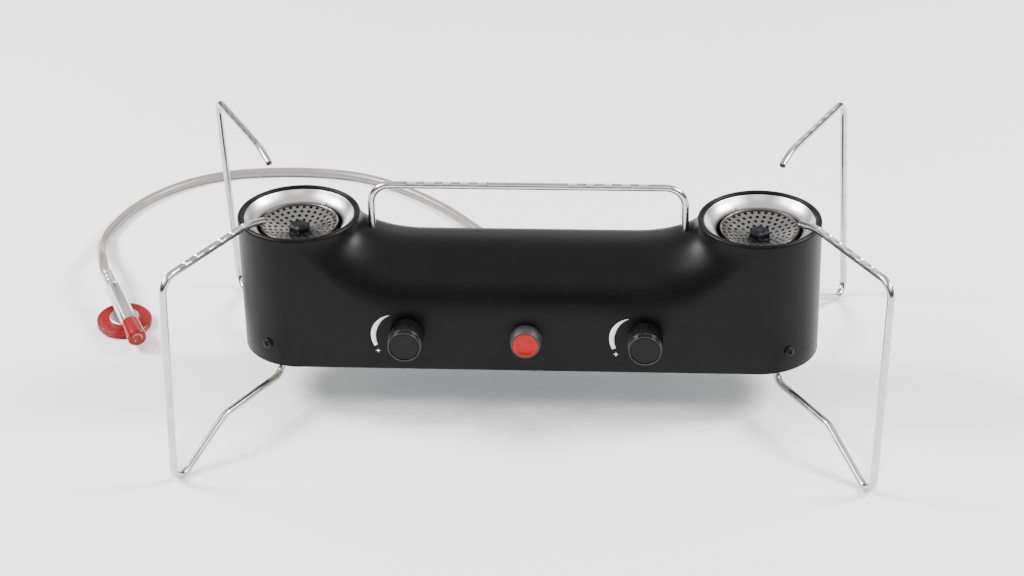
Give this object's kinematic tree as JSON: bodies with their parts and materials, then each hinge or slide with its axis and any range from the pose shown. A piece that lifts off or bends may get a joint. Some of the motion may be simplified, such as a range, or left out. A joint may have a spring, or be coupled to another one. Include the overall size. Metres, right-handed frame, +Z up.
{
  "type": "camping stove",
  "caption": "Portable gas stove with dished burners, fold-out wire legs that hold the pans, a wire handle, turning knobs, a push igniter and a hose for a screw-on canister.",
  "frame": {"origin": "on the ground under the middle of the stove, hose and connector left out", "axes": "+Z up, user at -Y facing the knobs, +X to the user's right; legs open, button out, knobs at off"},
  "size_m": [0.6536, 0.517, 0.1768],
  "materials": {
    "housing_paint": "satin black",
    "dark_steel": "blackened",
    "bowl_steel": "polished pressing",
    "head_steel": "satin",
    "wire_steel": "polished wire",
    "fitting_steel": "machined",
    "cast_alloy": "as cast",
    "brass": "machined",
    "black_plastic": "moulded",
    "red_plastic": "moulded, slightly translucent",
    "button_plastic": "moulded",
    "hose_sleeve": "clear sleeve over a braid",
    "lead_sleeve": "silicone",
    "ceramic": "glazed ceramic",
    "piezo_case": "moulded",
    "plating": "bright plating",
    "seal_rubber": "nitrile"
  },
  "bodies": {
    "stove": {"housing": "housing_paint", "base_plate": "dark_steel", "housing_screws": "dark_steel", "bail_nuts": "dark_steel", "left_burner_nut": "dark_steel", "right_burner_nut": "dark_steel", "left_drip_bowl": "bowl_steel", "right_drip_bowl": "bowl_steel", "left_burner_head": "head_steel", "right_burner_head": "head_steel", "left_burner_body": "cast_alloy", "right_burner_body": "cast_alloy", "left_mixing_tube": "cast_alloy", "right_mixing_tube": "cast_alloy", "left_burner_bracket": "fitting_steel", "right_burner_bracket": "fitting_steel", "left_valve_nut": "fitting_steel", "right_valve_nut": "fitting_steel", "inlet_nut": "fitting_steel", "hose_inlet_ferrule": "fitting_steel", "hose_outlet_ferrule": "fitting_steel", "left_electrode": "fitting_steel", "right_electrode": "fitting_steel", "igniter_spring": "fitting_steel", "left_jet": "brass", "right_jet": "brass", "left_valve_body": "brass", "right_valve_body": "brass", "gas_manifold": "brass", "inlet_fitting": "brass", "pivot_bushes": "brass", "igniter_collar": "black_plastic", "igniter_nut": "black_plastic", "carry_bail": "wire_steel", "hose": "hose_sleeve", "left_igniter_lead": "lead_sleeve", "right_igniter_lead": "lead_sleeve", "left_insulator": "ceramic", "right_insulator": "ceramic", "piezo_unit": "piezo_case", "connector_body": "plating", "canister_seal": "seal_rubber"},
    "front_left_leg": {"leg_front_left": "wire_steel", "clip_front_left": "dark_steel"},
    "front_right_leg": {"leg_front_right": "wire_steel", "clip_front_right": "dark_steel"},
    "back_left_leg": {"leg_back_left": "wire_steel", "clip_back_left": "dark_steel"},
    "back_right_leg": {"leg_back_right": "wire_steel", "clip_back_right": "dark_steel"},
    "left_gas_control": {"left_knob": "black_plastic", "left_valve_stem": "brass"},
    "right_gas_control": {"right_knob": "black_plastic", "right_valve_stem": "brass"},
    "ignition_button": {"igniter_button": "button_plastic"},
    "hand_wheel": {"connector_wheel": "red_plastic", "connector_hub": "plating"},
    "shut_off_knob": {"line_knob": "red_plastic"}
  },
  "joints": [
    {"name": "front_left_leg_fold", "type": "hinge", "parent": "stove", "child": "front_left_leg", "pos_m": [-0.19, -0.033, 0.045], "axis": [0, 0, 1], "range_deg": [0, 109]},
    {"name": "front_right_leg_fold", "type": "hinge", "parent": "stove", "child": "front_right_leg", "pos_m": [0.19, -0.033, 0.045], "axis": [0, 0, -1], "range_deg": [0, 111]},
    {"name": "back_left_leg_fold", "type": "hinge", "parent": "stove", "child": "back_left_leg", "pos_m": [-0.19, 0.033, 0.045], "axis": [0, 0, -1], "range_deg": [0, 109]},
    {"name": "back_right_leg_fold", "type": "hinge", "parent": "stove", "child": "back_right_leg", "pos_m": [0.19, 0.033, 0.045], "axis": [0, 0, 1], "range_deg": [0, 106]},
    {"name": "left_knob_turn", "type": "hinge", "parent": "stove", "child": "left_gas_control", "pos_m": [-0.0905, -0.06, 0.072], "axis": [0, -1, 0], "range_deg": [0, 145]},
    {"name": "right_knob_turn", "type": "hinge", "parent": "stove", "child": "right_gas_control", "pos_m": [0.0905, -0.06, 0.072], "axis": [0, -1, 0], "range_deg": [0, 145]},
    {"name": "button_press", "type": "slide", "parent": "stove", "child": "ignition_button", "axis": [0, 1, 0], "range_m": [0, 0.004], "stiffness_N_per_m": 1500, "springref_m": -0.002, "deforming": ["igniter_spring"]},
    {"name": "hand_wheel_turn", "type": "hinge", "parent": "stove", "child": "hand_wheel", "pos_m": [-0.339, 0.0805, 0.0051], "axis": [0.045, -0.0943, 0.9945], "continuous": true},
    {"name": "shut_off_turn", "type": "hinge", "parent": "stove", "child": "shut_off_knob", "pos_m": [-0.32564, 0.05249, 0.0134], "axis": [0.4282, -0.8976, -0.1045], "range_deg": [0, 270]}
  ]
}
